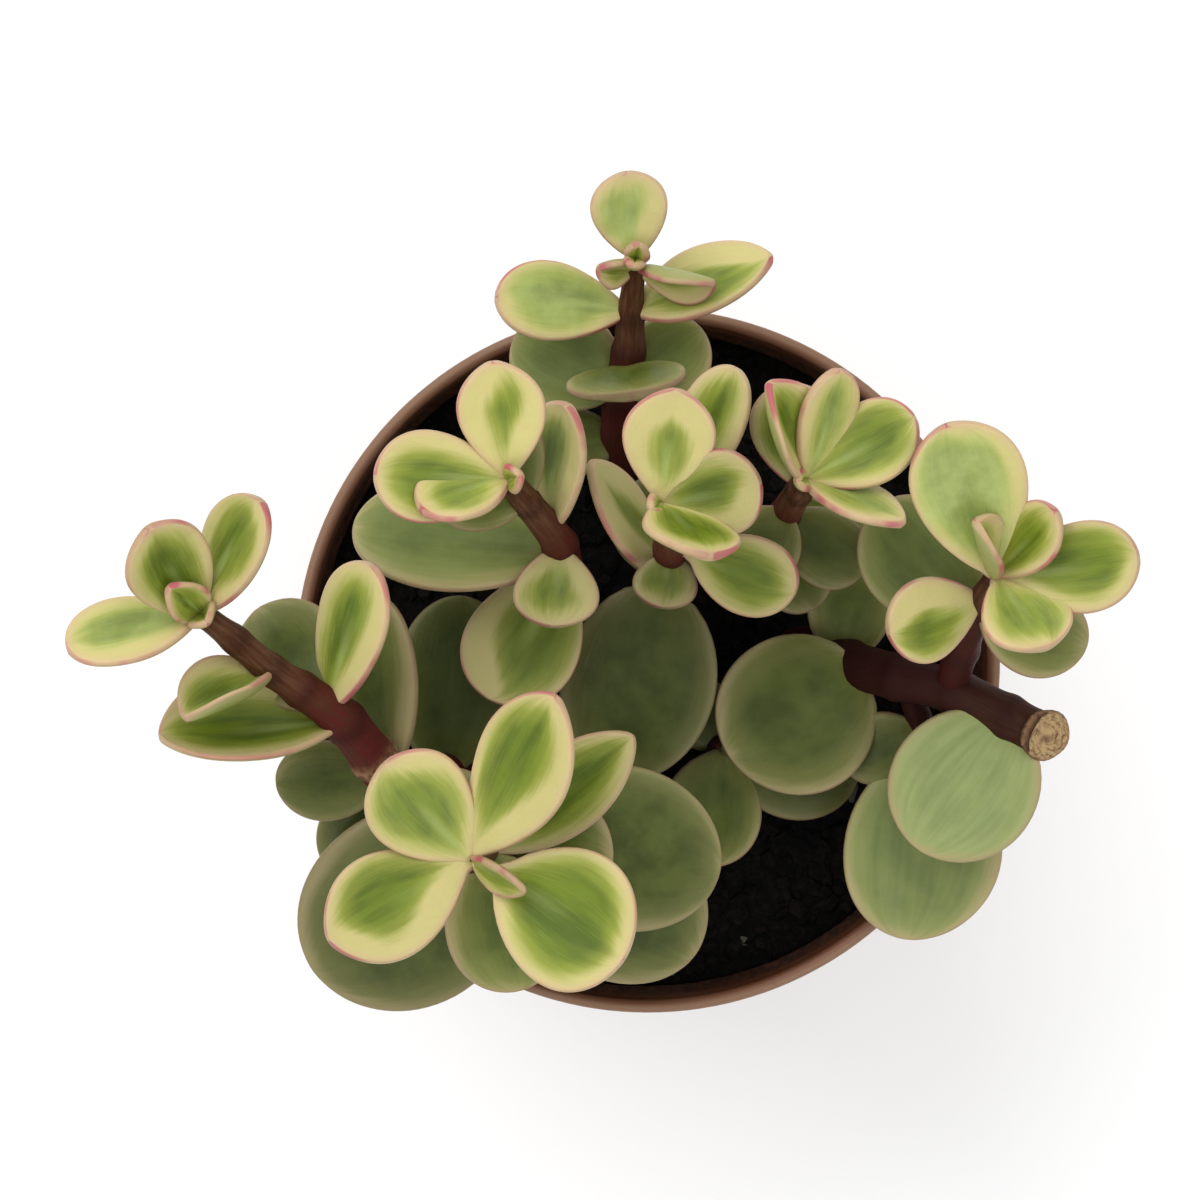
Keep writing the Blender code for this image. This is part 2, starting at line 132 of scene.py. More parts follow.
# base and tip give the roundness of a blade's two ends, and stalk is the share of its length that is
# a bare stalk. cream is the pale margin's usual width in millimetres; left and right override it
KINDS = {
    "young": Kind(thick=1.8, base=0.85, tip=0.50, stalk=0, cup=0.14, bend=6, age=0.05, cream=1.7),
    "kite": Kind(thick=1.8, base=1.00, tip=0.66, stalk=0, cup=0.14, bend=6, age=0.05, cream=1.9),
    "spoon": Kind(thick=1.8, base=0.72, tip=0.50, stalk=0.15, cup=0.14, bend=6, age=0.05, cream=1.7),
    "pointed": Kind(thick=1.8, base=0.80, tip=0.72, stalk=0, cup=0.14, bend=6, age=0.05, cream=1.9),
    "ripe": Kind(thick=1.8, base=0.75, tip=0.50, stalk=0, cup=0.10, bend=2, age=0.4, cream=1.2),
    "old": Kind(thick=2.2, base=0.62, tip=0.50, stalk=0, cup=0.05, bend=-8, age=0.8, cream=0.7),
    "round": Kind(thick=2.2, base=0.52, tip=0.50, stalk=0, cup=0.04, bend=-6, age=0.9, cream=0.7),
    "folded": Kind(thick=1.5, base=0.80, tip=0.60, stalk=0, cup=0.75, bend=8, age=0.1, cream=1.2),
    "bud": Kind(thick=1.3, base=0.70, tip=0.70, stalk=0, cup=0.50, bend=4, age=0.0, cream=0.3),
}

ROUTES = {
    "shoot_back": [
        (-4, 19.5, 70, 2.6),
        (-4, 25, 79, 2.4),
        (-3.5, 33, 86, 2.2),
        (-2.5, 39, 89.5, 2.0),
        (-2.3, 43.5, 92.5, 1.7),
        (-1.7, 49.5, 97, 1.2),
    ],
    "shoot_back_left": [
        (-11, 7.5, 70, 2.6),
        (-10.5, 10.5, 86, 2.4),
        (-11, 14.5, 101, 2.1),
        (-15, 19.5, 111, 1.8),
        (-16.8, 21.8, 117, 1.3),
    ],
    "shoot_centre": [
        (1, 8, 70, 2.6),
        (2, 10, 88, 2.4),
        (2.5, 14, 103, 2.1),
        (1.5, 17.5, 113, 1.8),
        (1, 19, 118, 1.3),
    ],
    "shoot_back_right": [
        (14.5, 13, 70, 2.4),
        (15.5, 14.5, 86, 2.2),
        (16.5, 18, 99, 1.9),
        (18, 21, 109, 1.7),
        (18.3, 22, 113, 1.3),
    ],
    "shoot_right": [
        (20, 1.5, 70, 3.1),
        (25.5, -0.5, 83, 2.9),
        (31.5, -2, 89, 2.8),
        (38, -3.7, 92.5, 2.8),
        (44.5, -6.8, 94.5, 2.6),
        (51, -10, 96, 2.7),
    ],
    "shoot_left": [
        (-22, -12, 70, 3.2),
        (-27, -15, 86, 3.1),
        (-32, -13.5, 99, 3.0),
        (-37, -7, 107, 2.5),
        (-42, -3, 111, 2.1),
        (-45.5, -0.5, 113.5, 1.9),
        (-49.5, 3, 116, 1.7),
        (-53, 6, 119, 1.3),
    ],
    "shoot_front": [
        (-12, -19, 70, 3.0),
        (-14.5, -20, 89, 2.8),
        (-17.5, -21.5, 102, 2.4),
        (-19.5, -22, 114, 2.0),
        (-21, -22.5, 126, 1.5),
    ],
    "shoot_inner": [
        (9.5, -11, 70, 2.2),
        (9.5, -11, 74, 2.0),
        (9.3, -11.5, 79, 1.6),
    ],
}

# left and right are the pale margins' widths in millimetres, seen from the leaf's base; tone is how
# much painted sheen (above 0) or painted shade (below 0) the leaf gets over its kind's colour
LEAVES = {
    "shoot_back": [
        Leaf(5, 96, 20, 11.5, 9.5, "young", 0, 1.4, 2.6, 0.8),
        Leaf(5, 75, 62, 4.5, 3.0, "bud"),
        Leaf(5, 255, 72, 4.0, 2.6, "bud"),
        Leaf(4, 175, 14, 17.5, 10, "young", 8, 1.6, 0.8, 0.65),
        Leaf(4, 19, 14, 19.5, 10, "pointed", -30, 4.4, 0.9, 0.2),
        Leaf(4.8, 351, 22, 11, 6, "folded", 70, 1.6, 1.6),
        Leaf(4.8, 182, 28, 5.5, 4, "folded", -40),
        Leaf(2.6, 278, 72, 11, 15, "old", 0, 0.5, 0.5, -0.1),
        Leaf(2.2, 155, 5, 15, 13, "old", 0, 0.4, 0.6, 0.3),
        Leaf(2.1, 38, 6, 13, 11, "old", 0, 0.4, 1.2, 0.1),
        Leaf(1.4, 185, 8, 11, 9, "old", 0, 0.4, 0.6, -0.4),
    ],
    "shoot_back_left": [
        Leaf(4, 98, 18, 15, 10.5, "kite", 0, 2.8, 2.6, 0.1),
        Leaf(4, 178, 14, 16.5, 11, "young", 0, 1.2, 1.6),
        Leaf(4, 201, 27, 12.5, 9, "young", 40, 1.5, 1.4, 0.4),
        Leaf(4, 20, 70, 5, 3.5, "bud"),
        Leaf(2.3, 80, 28, 17.5, 10.5, "young", -46, 2.4, 2.2, 0.1),
        Leaf(2.0, 264, 12, 10.5, 10.5, "young", 0, 2.0, 1.6, -0.25),
        Leaf(1.8, 172, 4, 26, 16, "old", 30, 1.0, 0.6, 0.18),
        Leaf(1.3, 239, 6, 19, 14.5, "ripe", 0, 0.8, 3.6, 0.1),
        Leaf(1.1, 140, 6, 14, 11, "old", 0, 0.5, 0.5, -0.7),
        Leaf(3.0, 100, 12, 12, 6.5, "old", 0, 0.5, 0.5, -0.3),
        Leaf(3.0, 180, 8, 11, 7, "old", 0, 0.5, 0.5, -0.3),
    ],
    "shoot_centre": [
        Leaf(4, 82, 18, 14.5, 11, "kite", 0, 3.3, 3.1, 0.1),
        Leaf(4, 12, 12, 12.5, 10.5, "young", 10, 1.2, 2.6, -0.3),
        Leaf(4, 309, 47, 13, 12, "young", -48, 1.5, 1.5),
        Leaf(4, 215, 70, 4.5, 3, "bud"),
        Leaf(3, 64, 4, 20, 8.5, "young", -10, 1.6, 1.4),
        Leaf(2.1, 341, 8, 16.5, 10, "spoon", 12, 1.4, 1.4, -0.25),
        Leaf(1.9, 262, 12, 7.2, 8, "ripe", 0, 0.9, 0.9, -0.55),
        Leaf(1.3, 128, 32, 20, 9, "pointed", 45, 3.4, 3.0, -0.1),
        Leaf(0.9, 255, 1, 25.5, 19.5, "round", 0, 0.7, 1.1, -0.45),
        Leaf(1.1, 100, 8, 13, 11, "old", 0, 0.5, 0.5, -0.7),
        Leaf(1.6, 25, 4, 9, 8, "old", 0, 0.4, 0.4, -0.6),
    ],
    "shoot_back_right": [
        Leaf(4, 115, 30, 14.5, 8.5, "folded", 40, 2.2, 1.2),
        Leaf(4, 75, 24, 15, 7.5, "young", 30, 1.4, 1.2, 0.5),
        Leaf(4, 29, 14, 15.5, 10, "young", -12, 0.9, 0.8, 0.1),
        Leaf(4, 333, 22, 14, 7.5, "pointed", -50, 1.2, 1.2, 0.3),
        Leaf(4, 200, 72, 4, 2.6, "bud"),
        Leaf(3, 98, 6, 13, 10, "young", 0, 1.0, 1.0, -0.3),
        Leaf(2.2, 235, 8, 10, 10, "old", 0, 0.4, 0.5, -0.1),
        Leaf(2.0, 322, 4, 12, 9.5, "old", 0, 0.4, 0.5, -0.4),
        Leaf(1.2, 300, 12, 10, 9, "old", 0, 0.3, 0.4, -0.6),
        Leaf(1.0, 30, 6, 14, 11, "old", 0, 0.5, 0.5, 0),
        Leaf(1.0, 175, 4, 11, 9, "old", 0, 0.3, 0.4, -0.7),
        Leaf(3.0, 22, 6, 11, 8, "old", 0, 0.5, 0.5, -0.3),
    ],
    "shoot_right": [
        Leaf(1.3, 212, 8, 20.5, 20.5, "round", 6, 0.9, 0.8, -0.35),
        Leaf(4.1, 234, -6, 20.2, 18.6, "round", 0, 0.9, 0.6, 0.8),
        Leaf(0.8, 75, 10, 13, 11, "old", 0, 0.5, 0.5, -0.3),
    ],
    "shoot_left": [
        Leaf(7, 196, 12, 16.5, 10, "young", 38, 2.0, 1.3, 0.6),
        Leaf(7, 59, 20, 16.5, 10, "young", -32, 1.2, 2.0, -0.1),
        Leaf(7, 118, 38, 15, 10.5, "young", 10, 1.2, 1.2, -0.1),
        Leaf(7, 135, 55, 8.5, 5, "bud"),
        Leaf(7, 315, 70, 4.5, 4, "bud"),
        Leaf(4.9, 212, 26, 13, 9, "folded", 50, 1.2, 1.2),
        Leaf(3.3, 71, 18, 19.5, 11.5, "young", -38, 1.4, 2.2),
        Leaf(3.0, 186, 8, 22.5, 12, "folded", 30, 1.4, 1.2),
        Leaf(3.4, 126, -12, 15, 13, "old", 0, 0.5, 0.5, -0.1),
        Leaf(2, 98, 2, 22, 12.5, "old", -30, 0.6, 1.6, -0.1),
        Leaf(2, 185, 2, 14, 10, "old", 0, 0.3, 0.4, -0.3),
        Leaf(1.6, 232, -2, 15, 12, "old", 0, 0.4, 0.4, -0.1),
        Leaf(0.8, 84, 2, 23, 15, "old", 0, 0.3, 0.3, -0.75),
    ],
    "shoot_front": [
        Leaf(4, 130, 16, 16, 12.5, "young", 0, 1.0, 1.8, 0.15),
        Leaf(4, 62, 22, 24, 12.5, "kite", -20, 1.2, 3.2),
        Leaf(4, 209, 14, 19.5, 12.8, "kite", 8, 4.2, 1.4, -0.05),
        Leaf(4, 328, 10, 21.5, 16.5, "spoon", 0, 1.3, 1.7, -0.1),
        Leaf(4, 334, 35, 9, 4, "bud", 40, 0.3, 0.3, -0.25),
        Leaf(3.2, 38, 8, 23, 10, "pointed", 0, 0.9, 1.4, -0.2),
        Leaf(3.0, 355, 2, 15, 15, "old", 0, 0.9, 0.6, 0),
        Leaf(3.2, 285, 6, 17, 14.5, "old", 0, 0.3, 1.0, 0.15),
        Leaf(1.9, 214, -4, 29.5, 24.5, "round", 0, 0.8, 1.3, -0.3),
        Leaf(1.7, 350, -4, 26, 20.5, "round", 0, 0.6, 0.7, -0.25),
        Leaf(1.3, 322, -6, 27, 20.5, "round", 0, 0.7, 0.7, -0.35),
        Leaf(2.5, 50, 10, 14, 9, "old", 0, 0.5, 0.5, -0.3),
        Leaf(2.5, 142, 8, 12, 10, "old", 0, 0.5, 0.5, -0.3),
        Leaf(2.4, 272, 4, 12, 10, "old", 0, 0.5, 0.5, -0.5),
        Leaf(1.8, 40, 4, 12, 9, "old", 0, 0.4, 0.4, -0.5),
        Leaf(1.2, 182, 2, 12, 10, "old", 0, 0.4, 0.4, -0.5),
    ],
    "shoot_inner": [
        Leaf(2, 348, 0, 18, 13, "old", 0, 0.4, 0.4, -0.5),
        Leaf(2, 262, 6, 15, 13, "old", 0, 0.5, 0.4, -0.35),
        Leaf(1.6, 120, 6, 10, 9, "old", 0, 0.4, 0.4, -0.7),
    ],
}

SIDE_SHOOTS = {
    "shoot_right": [
        (
            [
                (37.5, -3.5, 92, 2.0),
                (38.3, 1.5, 99, 2.0),
                (39.8, 7, 106, 1.8),
                (41.3, 10.5, 112, 1.3),
            ],
            [
                Leaf(3, 111, 22, 21, 14, "young", 0, 0.9, 1.7, 0.8),
                Leaf(3, 121, 45, 10.5, 6, "folded", 60, 1.4, 1.4),
                Leaf(3, 48, 30, 12, 8, "young", -30, 0.9, 1.0, -0.2),
                Leaf(3, 8, 16, 17.5, 11, "young", 0, 0.9, 2.2, -0.1),
                Leaf(3, 302, 30, 12, 11, "young", -20, 1.3, 1.3, 0.2),
                Leaf(2.2, 198, 14, 13, 10.5, "young", -15, 1.2, 3.2, 0.1),
                Leaf(2.0, 338, 2, 14, 11, "old", 0, 0.9, 0.5, 0.1),
                Leaf(1.7, 131, 0, 18, 14, "old", 0, 0.5, 0.6, 0.2),
                Leaf(2.3, 18, 6, 12, 9, "old", 0, 0.5, 0.5, -0.3),
            ],
        ),
        (
            [(32, -2, 89, 1.6), (34, -7, 87, 1.5), (35.5, -12, 86, 1.3)],
            [
                Leaf(2, 263, -3, 23.5, 20, "round", 0, 1.4, 0.6, 0.35),
                Leaf(1.3, 205, -4, 11, 9, "old", 0, 0.3, 0.3, -0.5),
            ],
        ),
    ],
}

# Stems that end in an old cut. Its face slants, and steps in from the callus lip by these shares of
# the stem's radius, each at its height in millimetres over the cut
CUT_ENDS = ("shoot_right",)
CUT_SLANT = 0.85
CUT_REACH = 0.9
CUT_LIP_SWELL = 0.08
CUT_LIP_REACH = 0.13
CUT_CALLUS = 0.8
CUT_STEPS = ((0.93, 0.25), (0.80, 0.32), (0.6, 0.12), (0.35, -0.1), (0.15, -0.15))
CUT_HOLLOW = -0.16

# Places on a stem where a pale callus collar grew
COLLARS = {"shoot_left": (2.35,)}
COLLAR_SWELL = 0.16
COLLAR_LENGTH = 0.9 * MM
CALLUS_LENGTH = 1.1 * MM

# Painted shade on the stems: height above the soil, in millimetres, below which a stem is painted
# darkest, and over which the painted shade fades
SHADE_BASE = (1, 22)
SHADED_STEMS = {"shoot_right": (15, 34)}


# Shader graphs


class Graph:
    """A material's node tree, built with short calls. Each call returns an output socket."""

    def __init__(self, name, **shader_values):
        self.material = bpy.data.materials.new(name)
        self.material.use_nodes = True
        self.tree = self.material.node_tree
        self.shader = self.tree.nodes["Principled BSDF"]
        for socket, value in shader_values.items():
            self.shader.inputs[socket.replace("_", " ")].default_value = value

    def node(self, kind, inputs=(), **settings):
        node = self.tree.nodes.new(kind)
        for key, value in settings.items():
            setattr(node, key, value)
        for slot, value in dict(inputs).items():
            self.put(node.inputs[slot], value)
        return node

    def put(self, socket, value):
        if isinstance(value, bpy.types.NodeSocket):
            self.tree.links.new(value, socket)
        elif isinstance(value, tuple) and socket.type == "RGBA":
            socket.default_value = (*value, 1)
        else:
            socket.default_value = value

    def math(self, operation, *values):
        inputs = dict(enumerate(values))
        return self.node("ShaderNodeMath", inputs, operation=operation).outputs[0]

    def times(self, first, second):
        return self.math("MULTIPLY", first, second)

    def mix(self, factor, first, second):
        node = self.node("ShaderNodeMix", data_type="RGBA")
        self.put(node.inputs["Factor"], factor)
        self.put(node.inputs["A"], first)
        self.put(node.inputs["B"], second)
        return node.outputs["Result"]

    def step(self, value, low, high, start=0.0, end=1.0):
        """A smooth step from start to end while the value goes from low to high."""
        inputs = {"Value": value, "From Min": low, "From Max": high, "To Min": start, "To Max": end}
        node = self.node("ShaderNodeMapRange", inputs, interpolation_type="SMOOTHSTEP")
        return node.outputs["Result"]

    def noise(self, vector, scale, detail=3.0, rough=0.55):
        inputs = {"Vector": vector, "Scale": scale, "Detail": detail, "Roughness": rough}
        return self.node("ShaderNodeTexNoise", inputs).outputs["Fac"]

    def attribute(self, name):
        node = self.node("ShaderNodeAttribute", attribute_name=name)
        return self.split(node.outputs["Vector"])

    def split(self, vector):
        return self.node("ShaderNodeSeparateXYZ", {"Vector": vector}).outputs

    def join(self, x, y, z):
        return self.node("ShaderNodeCombineXYZ", {"X": x, "Y": y, "Z": z}).outputs["Vector"]

    def position(self):
        return self.node("ShaderNodeTexCoord").outputs["Object"]

    def bump(self, height, distance, strength, after=None):
        inputs = {"Height": height, "Distance": distance, "Strength": strength}
        if after is not None:
            inputs["Normal"] = after
        return self.node("ShaderNodeBump", inputs).outputs["Normal"]

    def finish(self, colour, roughness=None, normal=None):
        self.put(self.shader.inputs["Base Color"], colour)
        if roughness is not None:
            self.put(self.shader.inputs["Roughness"], roughness)
        if normal is not None:
            self.put(self.shader.inputs["Normal"], normal)
        return self.material


# Colours, linear
GREEN_YOUNG = (0.140, 0.198, 0.010)
GREEN_DEEP = (0.070, 0.112, 0.004)
GREEN_OLD = (0.084, 0.104, 0.017)
GREEN_OLD_DEEP = (0.042, 0.058, 0.007)
GREEN_PALE = (0.310, 0.340, 0.050)
GREEN_PALE_OLD = (0.165, 0.165, 0.050)
CREAM = (0.520, 0.465, 0.180)
CREAM_RIM = (0.540, 0.420, 0.210)
CREAM_OLD = (0.300, 0.250, 0.120)
# Painted reflection: grey rays of sheen on the old leaves
PAINTED_GREY_SHEEN = (0.285, 0.350, 0.145)
# Painted highlight: the even pale sheen on young leaves and along the blade's middle
PAINTED_SHEEN = (0.440, 0.510, 0.180)
# Painted shade for leaves deep among the others
LEAF_SHADE = (0.020, 0.026, 0.006)
PINK = (0.400, 0.075, 0.105)
BLUSH = (0.470, 0.300, 0.190)
TAN_EDGE = (0.240, 0.150, 0.085)
UNDERSIDE = (0.170, 0.230, 0.055)
MAROON = (0.092, 0.011, 0.012)
BARK = (0.060, 0.020, 0.007)
BARK_PALE = (0.120, 0.058, 0.030)
# Dark bark for the node rings, and the painted shade low on the stems
BARK_DARK_AND_SHADE = (0.020, 0.0042, 0.003)
CUT_WOOD = (0.430, 0.300, 0.145)
CALLUS = (0.300, 0.170, 0.085)
POT_BROWN = (0.130, 0.042, 0.018)
# Paler brown for the pot's mottle, and for the painted highlight on the rim's top
POT_WORN_AND_LIT = (0.215, 0.118, 0.068)
SOIL_DARK = (0.0016, 0.0013, 0.0011)
SOIL_BROWN = (0.009, 0.006, 0.0045)
GRIT = (0.075, 0.066, 0.055)


def leaf_green(g, broad, fine, cloud, age):
    """The blade's green between its margins, from the young leaves' to the old ones'."""
    young = g.mix(g.step(broad, 0.34, 0.66), GREEN_DEEP, GREEN_YOUNG)
    young = g.mix(g.step(fine, 0.45, 0.8, 0.0, 0.18), young, GREEN_PALE)
    old = g.mix(g.step(cloud, 0.3, 0.7), GREEN_OLD_DEEP, GREEN_OLD)
    return g.mix(age, young, old)


def leaf_painted_sheen(g, colour, streak, cloud, age, tone):
    """Painted light: rays of grey painted reflection on the old leaves, and an even painted pale sheen
    on the young ones.
    """
    sheen_strength = g.math("MAXIMUM", tone, 0.0)
    rays = g.step(streak, 0.25, 0.75, 0.62, 0.95)
    # Painted reflection in grey rays, on old leaves with a tone above 0
    colour = g.mix(g.times(rays, g.times(age, sheen_strength)), colour, PAINTED_GREY_SHEEN)
    youth = g.math("SUBTRACT", 1.0, age)
    # Painted highlight: an even pale sheen on young leaves with a tone above 0
    sheen = g.times(g.step(cloud, 0.3, 0.7, 0.4, 0.8), g.times(youth, sheen_strength))
    return g.mix(sheen, colour, PAINTED_SHEEN)


def leaf_rib_highlight(g, colour, along, across, seed, age):
    """A painted highlight along the middle of the blade, stronger on some leaves, gone on the old ones.
    """
    near_rib = g.step(g.math("ABSOLUTE", across), 0.02, 0.2, 1.0, 0.0)
    rib = g.times(near_rib, g.step(along, 0.35, 0.7, 1.0, 0.0))
    rib = g.times(rib, g.times(seed, 0.5))
    return g.mix(g.times(rib, g.math("SUBTRACT", 1.0, age)), colour, PAINTED_SHEEN)


def leaf_edge(g, colour, inward, flush, age):
    """The thin line round the blade: pink and blush on the young leaves, tan on the old ones."""
    young_edge = g.mix(g.step(flush, 0.46, 0.66), BLUSH, PINK)
    line = g.times(g.step(inward, 0.02, 0.26, 1.0, 0.0), g.step(flush, 0.25, 0.6, 0.5, 0.95))
    return g.mix(line, colour, g.mix(age, young_edge, TAN_EDGE))


def leaf_material():
    g = Graph(
        "leaf",
        Subsurface_Weight=0.10,
        Subsurface_Radius=(1.0, 1.2, 0.35),
        Subsurface_Scale=0.0008,
        Specular_IOR_Level=0.16,
        Coat_Weight=0.12,
        Coat_Roughness=0.24,
    )
    along, across, inward = g.attribute("blade")
    seed, age, margin = g.attribute("coat")
    under, tone, _ = g.attribute("side")
    # tone above 0 sets a leaf's painted sheen, and below 0 its painted shade
    place = g.times(seed, 37.0)
    slow = g.times(along, 1.6)
    broad = g.noise(g.join(g.times(across, 2.2), slow, place), 1.0, 2.0)
    streak = g.noise(g.join(g.times(across, 8.0), slow, place), 1.0, 3.0, 0.6)
    fine = g.noise(g.join(g.times(across, 30.0), g.times(along, 4.0), place), 1.0, 2.0, 0.5)
    cloud = g.noise(g.position(), 230.0, 3.0)
    flush = g.noise(g.join(g.times(along, 2.4), across, place), 1.0, 2.0)

    # How far a point lies inside the pale margin, in millimetres, feathered along the blade
    reach = g.math("SUBTRACT", margin, inward)
    for spread, width in ((broad, 2.0), (streak, 1.3), (fine, 0.4)):
        reach = g.math("ADD", reach, g.times(g.math("SUBTRACT", spread, 0.5), width))
    cream = g.step(reach, -0.9, 1.1)
    pale = g.step(reach, g.math("SUBTRACT", -2.6, g.times(age, 1.8)), 0.4, 0.0, 0.8)

    colour = leaf_green(g, broad, fine, cloud, age)
    colour = g.mix(pale, colour, g.mix(age, GREEN_PALE, GREEN_PALE_OLD))
    # Painted sheen and painted reflection, for leaves with a tone above 0
    colour = leaf_painted_sheen(g, colour, streak, cloud, age, tone)
    # Painted highlight along the middle of the blade
    colour = leaf_rib_highlight(g, colour, along, across, seed, age)
    rim = g.mix(g.step(inward, 0.2, 1.1), CREAM_RIM, CREAM)
    colour = g.mix(cream, colour, g.mix(age, rim, CREAM_OLD))
    colour = g.mix(g.times(under, 0.6), colour, UNDERSIDE)
    colour = leaf_edge(g, colour, inward, flush, age)
    # Painted shade: leaves with a tone below 0 are darkened towards the shade colour
    painted_shade = g.math("MAXIMUM", g.times(tone, -1.0), 0.0)
    colour = g.mix(g.times(painted_shade, 0.75), colour, LEAF_SHADE)

    rough = g.step(g.noise(g.position(), 900.0, 2.0), 0.3, 0.7, 0.38, 0.52)
    veins = g.bump(fine, 0.0002, 0.25)
    ripple = g.bump(g.noise(g.position(), 420.0, 2.0), 0.0006, 0.30, veins)
    grain = g.bump(g.noise(g.position(), 5200.0, 1.0), 0.00006, 0.3, ripple)
    return g.finish(colour, rough, grain)


def stem_material():
    g = Graph("stem", Specular_IOR_Level=0.10)
    height, youth, ring = g.attribute("bark")
    round_x, round_y, _ = g.attribute("turn")
    cut, callus, high = g.attribute("ends")
    streak = g.noise(
        g.join(g.times(round_x, 1.6), g.times(round_y, 1.6), g.times(height, 0.14)), 1.0, 4.0, 0.65
    )
    spots = g.noise(g.position(), 1300.0, 3.0)
    young = g.mix(g.step(streak, 0.35, 0.7), MAROON, BARK)
    brown = g.mix(g.step(streak, 0.35, 0.72), BARK, BARK_PALE)
    colour = g.mix(g.step(youth, 0.45, 0.75), young, brown)
    colour = g.mix(g.step(spots, 0.6, 0.78, 0.0, 0.3), colour, BARK_PALE)
    colour = g.mix(g.times(ring, 0.5), colour, BARK_DARK_AND_SHADE)
    # Painted shade: stems are darkened low down, near the soil under the leaves
    colour = g.mix(high, BARK_DARK_AND_SHADE, colour)
    colour = g.mix(callus, colour, g.mix(g.step(spots, 0.35, 0.65), CALLUS, BARK_PALE))
    rings = g.noise(g.join(round_x, round_y, 0.0), 1.6, 4.0, 0.7)
    colour = g.mix(cut, colour, g.mix(g.step(rings, 0.38, 0.68), CUT_WOOD, BARK_PALE))
    rough = g.step(streak, 0.2, 0.8, 0.45, 0.66)
    normal = g.bump(streak, 0.0004, 0.4)
    normal = g.bump(spots, 0.00015, 0.3, normal)
    return g.finish(colour, rough, normal)


def pot_material():
    g = Graph("pot", Specular_IOR_Level=0.35)
    place = g.position()
    x, y, z = g.split(place)
    radius = g.math("SQRT", g.math("ADD", g.math("POWER", x, 2.0), g.math("POWER", y, 2.0)))
    cloud = g.noise(place, 60.0, 4.0, 0.6)
    speck = g.noise(place, 1400.0, 2.0)
    moulded = g.noise(g.join(x, y, g.times(z, 60.0)), 20.0, 2.0)
    colour = g.mix(g.step(cloud, 0.4, 0.75, 0.0, 0.3), POT_BROWN, POT_WORN_AND_LIT)
    # Painted highlight: the rim's top is painted pale, most at its outer edge
    top = g.step(z, POT_HEIGHT - 1.4 * MM, POT_HEIGHT - 0.2 * MM)
    outer = g.step(radius, RIM_RADIUS - 1.3 * MM, RIM_RADIUS - 0.6 * MM, 0.25, 0.9)
    painted_rim_highlight = g.times(g.times(top, outer), g.step(speck, 0.1, 0.5, 0.6, 1.0))
    colour = g.mix(painted_rim_highlight, colour, POT_WORN_AND_LIT)
    # The inner wall is darkened in specks with soil brown just above the soil
    wall = RIM_RADIUS - LIP - WALL
    inner = g.step(radius, wall + 0.1 * MM, wall + 0.4 * MM, 1.0, 0.0)
    near_soil = g.step(z, SOIL_TOP, SOIL_TOP + 6 * MM, 0.9, 0.0)
    near_soil = g.times(near_soil, g.step(z, SOIL_TOP - 2 * MM, SOIL_TOP - 1 * MM))
    near_soil_specks = g.times(g.times(inner, near_soil), g.step(speck, 0.3, 0.62, 0.5, 1.0))
    colour = g.mix(near_soil_specks, colour, SOIL_BROWN)
    rough = g.step(cloud, 0.3, 0.7, 0.42, 0.6)
    normal = g.bump(moulded, 0.0002, 0.25)
    normal = g.bump(speck, 0.00006, 0.4, normal)
    return g.finish(colour, rough, normal)


def soil_material():
    g = Graph("soil", Specular_IOR_Level=0.12)
    tone = g.attribute("tone")[0]
    lumps = g.noise(g.position(), 900.0, 5.0, 0.7)
    colour = g.mix(g.step(lumps, 0.45, 0.8), SOIL_DARK, SOIL_BROWN)
    colour = g.mix(g.step(tone, 0.0, 1.0, 0.0, 0.5), colour, SOIL_BROWN)
    colour = g.mix(g.step(tone, 1.5, 1.6), colour, GRIT)
    normal = g.bump(lumps, 0.0005, 0.8)
    return g.finish(colour, g.step(lumps, 0.3, 0.7, 0.95, 0.8), normal)


# Meshes


class Shell:
    """Collects closed shells and their point attributes into one mesh."""

    def __init__(self):
        self.points = []
        self.faces = []
        self.values = {}
        self.count = 0

    def add(self, points, faces, **values):
        self.points.append(points)
        self.faces += [[index + self.count for index in face] for face in faces]
        for name, value in values.items():
            self.values.setdefault(name, []).append(value)
        self.count += len(points)

    def build(self, name, material):
        mesh = bpy.data.meshes.new(name)
        mesh.from_pydata(np.concatenate(self.points).tolist(), [], self.faces)
        for key, value in self.values.items():
            attribute = mesh.attributes.new(key, "FLOAT_VECTOR", "POINT")
            attribute.data.foreach_set("vector", np.concatenate(value).astype(np.float32).ravel())
        mesh.materials.append(material)
        mesh.update()
        mesh.shade_smooth()
        piece = bpy.data.objects.new(name, mesh)
        bpy.context.scene.collection.objects.link(piece)
        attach(piece, "root")
        return piece


def tube_faces(rings, sides, first_pole, last_pole):
    """Faces of a closed skin over rings of points, with a pole at each end."""
    faces = []
    for ring in range(rings - 1):
        low = ring * sides
        for i in range(sides):
            j = (i + 1) % sides
            faces.append((low + i, low + j, low + sides + j, low + sides + i))
    last = (rings - 1) * sides
    for i in range(sides):
        j = (i + 1) % sides
        faces.append((first_pole, j, i))
        faces.append((last_pole, last + i, last + j))
    return faces


def route_at(route, place):
    """The point, in metres, at a place on the smooth curve through a route, and the radius there."""
    first = min(int(place), len(route) - 2)
    share = place - first
    before = Vector(route[max(first - 1, 0)])
    start = Vector(route[first])
    end = Vector(route[first + 1])
    after = Vector(route[min(first + 2, len(route) - 1)])
    blend = (
        start * 2
        + (end - before) * share
        + (before * 2 - start * 5 + end * 4 - after) * share**2
        + (start * 3 - before - end * 3 + after) * share**3
    ) / 2
    return Vector(blend[:3]) * MM, blend[3] * MM


